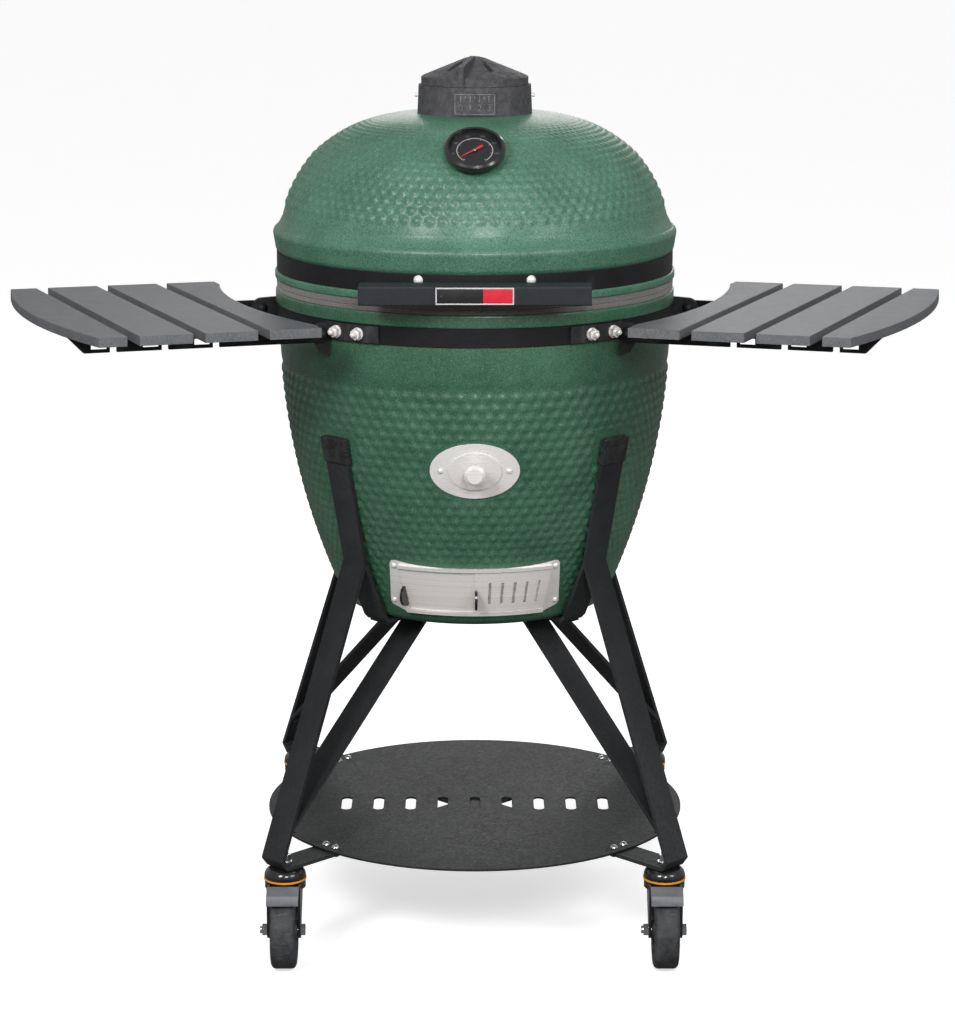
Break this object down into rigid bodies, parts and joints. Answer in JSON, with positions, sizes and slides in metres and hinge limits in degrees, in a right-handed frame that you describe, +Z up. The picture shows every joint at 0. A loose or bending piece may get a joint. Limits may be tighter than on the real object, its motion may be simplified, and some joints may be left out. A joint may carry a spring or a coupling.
{
  "type": "kamado ceramic grill",
  "caption": "Egg-shaped ceramic charcoal grill with a hinged dome, draft slide and chimney vent, on a rolling four-legged stand with fold-down side shelves.",
  "frame": {"origin": "on the floor below the vertical axis of the ceramic body", "axes": "+Z up along the ceramic body axis, front with handle and draft slide towards -Y, +X to the right seen from the front"},
  "size_m": [1.2362, 0.7285, 1.15],
  "materials": {
    "glazed_green": "dimpled, mottled gloss glaze",
    "glazed_green_dome": "dimpled, mottled gloss glaze",
    "felt": "dense felt gasket",
    "fired_clay": "unglazed refractory clay",
    "cast_iron": "raw casting",
    "stainless": "polished stainless steel",
    "brushed_plate": "brushed stainless steel",
    "black_powder": "satin black powder coat",
    "textured_black": "fine textured black powder coat",
    "spring_steel": "oiled spring wire",
    "handle_black": "satin moulded",
    "plate_face": "blank plate with a plain coloured field",
    "bezel_black": "gloss black enamel",
    "dial_face": "printed dial",
    "needle_red": "red enamel",
    "clear_glass": "clear",
    "vent_iron": "painted casting",
    "black_rubber": "moulded cap",
    "zinc": "bright zinc plating",
    "gloss_black": "gloss black enamel",
    "orange_plastic": "moulded seal ring",
    "wheel_rubber": "moulded tread on a nylon core",
    "grey_plastic": "moulded pedal",
    "slat_grey": "speckled composite board"
  },
  "bodies": {
    "stand": {"base_shell": "glazed_green", "base_gasket": "felt", "firebox": "fired_clay", "fire_ring": "fired_clay", "charcoal_grate": "cast_iron", "lower_band": "black_powder", "band_bolts": "stainless", "hinge_lower": "black_powder", "hinge_pin": "stainless", "hinge_springs": "spring_steel", "draft_frame": "stainless", "port_plate": "brushed_plate", "front_screws": "stainless", "leg_front_left": "textured_black", "leg_front_right": "textured_black", "leg_rear_left": "textured_black", "leg_rear_right": "textured_black", "leg_caps": "black_rubber", "bottom_shelf": "textured_black", "stand_bolts": "zinc", "caster_cups": "gloss_black", "caster_rings": "orange_plastic", "shelf_brackets": "black_powder", "pivot_bolts": "black_powder"},
    "lid": {"dome_shell": "glazed_green_dome", "dome_gasket": "felt", "upper_band": "black_powder", "hinge_upper": "black_powder", "handle_bar": "handle_black", "handle_brackets": "black_powder", "name_plate": "plate_face", "lid_screws": "stainless", "thermometer_case": "bezel_black", "thermometer_dial": "dial_face", "thermometer_lens": "clear_glass", "vent_base": "vent_iron"},
    "vent_cap": {"vent_top": "vent_iron"},
    "needle": {"thermometer_needle": "needle_red"},
    "draft_slide": {"draft_door": "stainless"},
    "screen_slide": {"draft_screen": "stainless"},
    "plug": {"port_plug": "brushed_plate"},
    "grill_grate": {"cooking_grate": "stainless"},
    "left_shelf": {"left_arms": "black_powder", "left_slats": "slat_grey"},
    "right_shelf": {"right_arms": "black_powder", "right_slats": "slat_grey"},
    "caster_front_left": {"fork_front_left": "gloss_black", "axle_front_left": "zinc"},
    "wheel_front_left_body": {"wheel_front_left": "wheel_rubber"},
    "pedal_front_left": {"brake_front_left": "grey_plastic"},
    "caster_front_right": {"fork_front_right": "gloss_black", "axle_front_right": "zinc"},
    "wheel_front_right_body": {"wheel_front_right": "wheel_rubber"},
    "pedal_front_right": {"brake_front_right": "grey_plastic"},
    "caster_rear_left": {"fork_rear_left": "gloss_black", "axle_rear_left": "zinc"},
    "wheel_rear_left_body": {"wheel_rear_left": "wheel_rubber"},
    "caster_rear_right": {"fork_rear_right": "gloss_black", "axle_rear_right": "zinc"},
    "wheel_rear_right_body": {"wheel_rear_right": "wheel_rubber"}
  },
  "joints": [
    {"name": "lid_hinge", "type": "hinge", "parent": "stand", "child": "lid", "pos_m": [0, 0.304, 0.8545], "axis": [-1, 0, 0], "range_deg": [0, 75]},
    {"name": "vent_turn", "type": "hinge", "parent": "lid", "child": "vent_cap", "pos_m": [0, 0, 1.12], "axis": [0, 0, 1], "range_deg": [0, 32]},
    {"name": "needle_turn", "type": "hinge", "parent": "lid", "child": "needle", "pos_m": [0, -0.19978, 1.04654], "axis": [0, 0.5976, -0.8018], "range_deg": [0, 250], "stiffness_Nm_per_rad": 0.001},
    {"name": "draft_slide_turn", "type": "hinge", "parent": "stand", "child": "draft_slide", "pos_m": [0, 0, 0.478], "axis": [0, 0, 1], "range_deg": [0, 25]},
    {"name": "screen_slide_turn", "type": "hinge", "parent": "stand", "child": "screen_slide", "pos_m": [0, 0, 0.478], "axis": [0, 0, 1], "range_deg": [-25, 0]},
    {"name": "plug_pull", "type": "slide", "parent": "stand", "child": "plug", "axis": [0, -1, 0], "range_m": [0, 0.04]},
    {"name": "grate_lift", "type": "slide", "parent": "stand", "child": "grill_grate", "axis": [0, 0, 1], "range_m": [0, 0.04]},
    {"name": "left_shelf_fold", "type": "hinge", "parent": "stand", "child": "left_shelf", "pos_m": [-0.24047, -0.07796, 0.8135], "axis": [0.3827, -0.9239, 0], "range_deg": [0, 90]},
    {"name": "right_shelf_fold", "type": "hinge", "parent": "stand", "child": "right_shelf", "pos_m": [0.24047, -0.07796, 0.8135], "axis": [0.3827, 0.9239, 0], "range_deg": [0, 90]},
    {"name": "front_left_swivel", "type": "hinge", "parent": "stand", "child": "caster_front_left", "pos_m": [-0.24607, -0.24607, 0.1], "axis": [0, 0, 1], "continuous": true},
    {"name": "front_left_roll", "type": "hinge", "parent": "caster_front_left", "child": "wheel_front_left_body", "pos_m": [-0.24607, -0.27907, 0.05], "axis": [1, 0, 0], "continuous": true},
    {"name": "front_left_brake", "type": "hinge", "parent": "caster_front_left", "child": "pedal_front_left", "pos_m": [-0.24607, -0.28007, 0.1046], "axis": [1, 0, 0], "range_deg": [0, 10]},
    {"name": "front_right_swivel", "type": "hinge", "parent": "stand", "child": "caster_front_right", "pos_m": [0.24607, -0.24607, 0.1], "axis": [0, 0, 1], "continuous": true},
    {"name": "front_right_roll", "type": "hinge", "parent": "caster_front_right", "child": "wheel_front_right_body", "pos_m": [0.24607, -0.27907, 0.05], "axis": [1, 0, 0], "continuous": true},
    {"name": "front_right_brake", "type": "hinge", "parent": "caster_front_right", "child": "pedal_front_right", "pos_m": [0.24607, -0.28007, 0.1046], "axis": [1, 0, 0], "range_deg": [0, 10]},
    {"name": "rear_left_swivel", "type": "hinge", "parent": "stand", "child": "caster_rear_left", "pos_m": [-0.25173, 0.25173, 0.1], "axis": [0, 0, 1], "continuous": true},
    {"name": "rear_left_roll", "type": "hinge", "parent": "caster_rear_left", "child": "wheel_rear_left_body", "pos_m": [-0.25173, 0.28473, 0.05], "axis": [1, 0, 0], "continuous": true},
    {"name": "rear_right_swivel", "type": "hinge", "parent": "stand", "child": "caster_rear_right", "pos_m": [0.25173, 0.25173, 0.1], "axis": [0, 0, 1], "continuous": true},
    {"name": "rear_right_roll", "type": "hinge", "parent": "caster_rear_right", "child": "wheel_rear_right_body", "pos_m": [0.25173, 0.28473, 0.05], "axis": [1, 0, 0], "continuous": true}
  ]
}
